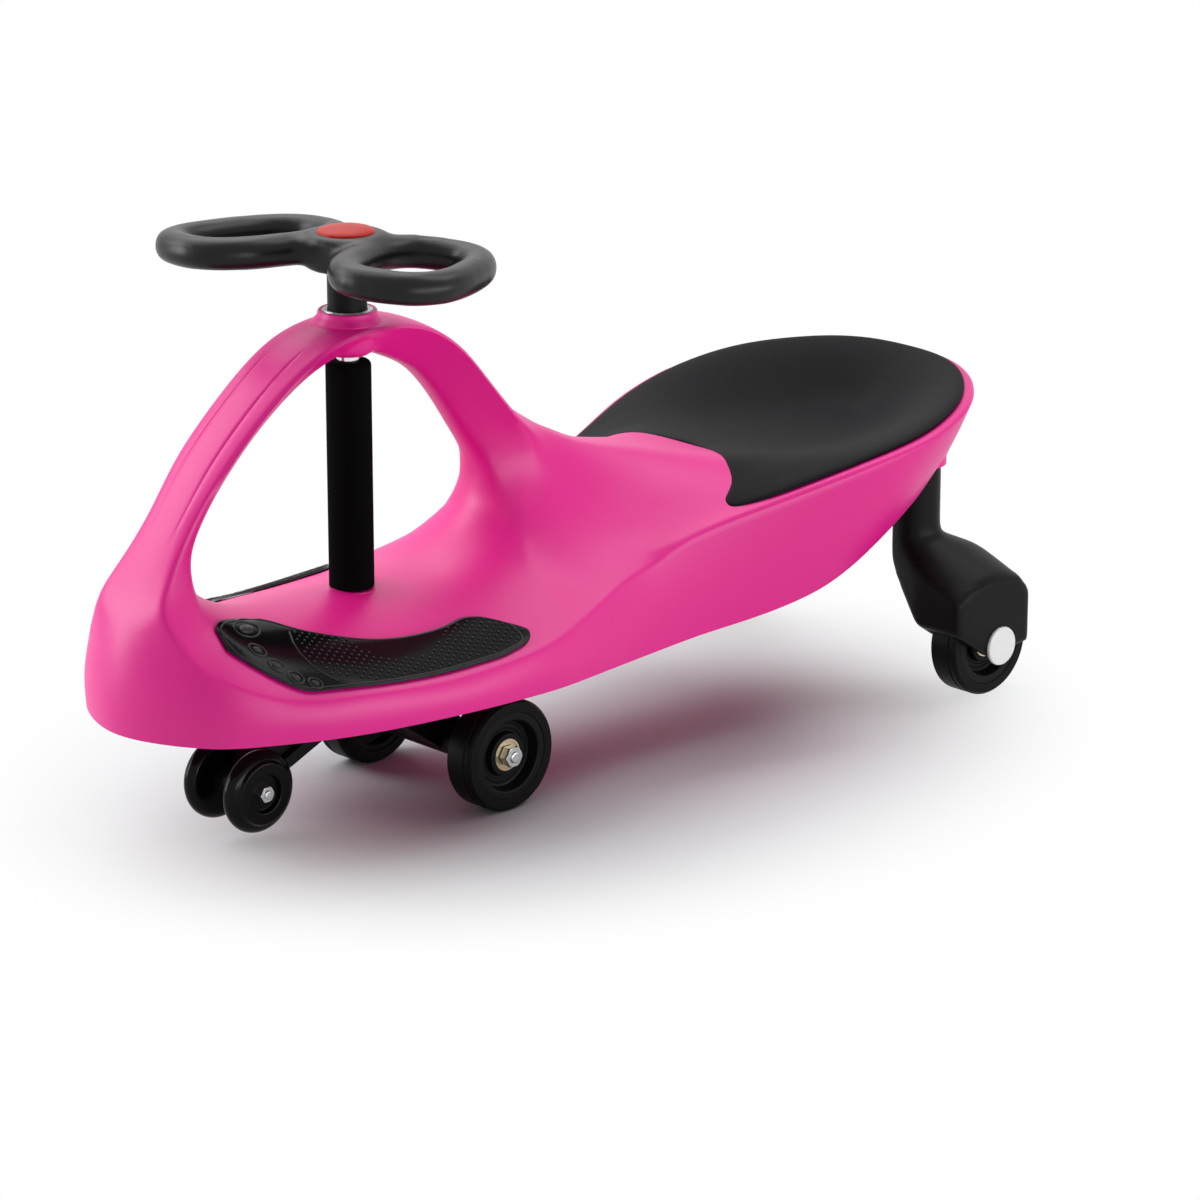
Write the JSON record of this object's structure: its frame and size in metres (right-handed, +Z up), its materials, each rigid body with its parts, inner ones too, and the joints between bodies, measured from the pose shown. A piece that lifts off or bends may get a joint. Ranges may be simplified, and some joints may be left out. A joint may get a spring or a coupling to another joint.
{
  "type": "wiggle car",
  "caption": "Ride-on wiggle car: moulded shell with an arch and dished seat, looped steering wheel on a column, trailing front wheels, raised safety wheels and fixed rear wheels.",
  "frame": {"origin": "on the floor, under the middle of the car's length, on its middle plane", "axes": "+X forward, +Y to the rider's left, +Z up"},
  "size_m": [0.7489, 0.3042, 0.3981],
  "materials": {
    "shell_pink": "satin-gloss moulded polypropylene",
    "seat_black": "matte moulded seat skin with a fine grain",
    "foot_black": "glossy moulded rubber with raised dots",
    "foam_black": "matte closed-cell foam",
    "moulded_black": "satin moulded plastic",
    "wheel_black": "satin blow-moulded plastic with a fine grain",
    "gloss_black": "glossy moulded plastic",
    "tyre_black": "satin moulded tyre",
    "chrome": "polished plating",
    "zinc": "bright zinc plate",
    "yellow_zinc": "yellow passivated zinc",
    "bush_white": "plain moulded nylon",
    "cap_red": "glossy moulded cap",
    "cap_white": "glossy moulded cap"
  },
  "bodies": {
    "root": {"body_shell": "shell_pink", "seat_pad": "seat_black", "foot_pad_left": "foot_black", "foot_pad_right": "foot_black", "upper_bush": "zinc", "lower_bush": "bush_white", "rear_strut_left": "moulded_black", "rear_axle_left": "zinc", "axle_cap_left": "cap_white", "rear_strut_right": "moulded_black", "rear_axle_right": "zinc", "axle_cap_right": "cap_white"},
    "steering": {"steering_column": "chrome", "column_sleeve": "foam_black", "column_stem": "moulded_black", "steering_wheel": "wheel_black", "wheel_bolt": "zinc", "wheel_cap": "cap_red", "axle_carrier": "moulded_black", "carrier_bolt": "zinc", "front_axle": "zinc", "front_nuts": "zinc", "safety_axle": "zinc", "safety_nuts": "zinc"},
    "front_wheel_left": {"front_hub_left": "moulded_black", "front_tyre_left": "tyre_black", "front_bearings_left": "yellow_zinc"},
    "safety_roller_left": {"safety_wheel_left": "gloss_black"},
    "rear_wheel_left": {"rear_hub_left": "moulded_black", "rear_tyre_left": "tyre_black", "rear_bearings_left": "yellow_zinc"},
    "front_wheel_right": {"front_hub_right": "moulded_black", "front_tyre_right": "tyre_black", "front_bearings_right": "yellow_zinc"},
    "safety_roller_right": {"safety_wheel_right": "gloss_black"},
    "rear_wheel_right": {"rear_hub_right": "moulded_black", "rear_tyre_right": "tyre_black", "rear_bearings_right": "yellow_zinc"}
  },
  "joints": [
    {"name": "steering_turn", "type": "hinge", "parent": "root", "child": "steering", "pos_m": [0.1725, 0, 0.1], "axis": [0, 0, 1], "continuous": true},
    {"name": "front_wheel_left_spin", "type": "hinge", "parent": "steering", "child": "front_wheel_left", "pos_m": [0.1025, 0.0665, 0.0385], "axis": [0, 1, 0], "continuous": true},
    {"name": "safety_left_spin", "type": "hinge", "parent": "steering", "child": "safety_roller_left", "pos_m": [0.2735, 0.021, 0.042], "axis": [0, 1, 0], "continuous": true},
    {"name": "rear_wheel_left_spin", "type": "hinge", "parent": "root", "child": "rear_wheel_left", "pos_m": [-0.3065, 0.128, 0.0385], "axis": [0, 1, 0], "continuous": true},
    {"name": "front_wheel_right_spin", "type": "hinge", "parent": "steering", "child": "front_wheel_right", "pos_m": [0.1025, -0.0665, 0.0385], "axis": [0, 1, 0], "continuous": true},
    {"name": "safety_right_spin", "type": "hinge", "parent": "steering", "child": "safety_roller_right", "pos_m": [0.2735, -0.021, 0.042], "axis": [0, 1, 0], "continuous": true},
    {"name": "rear_wheel_right_spin", "type": "hinge", "parent": "root", "child": "rear_wheel_right", "pos_m": [-0.3065, -0.128, 0.0385], "axis": [0, 1, 0], "continuous": true}
  ]
}
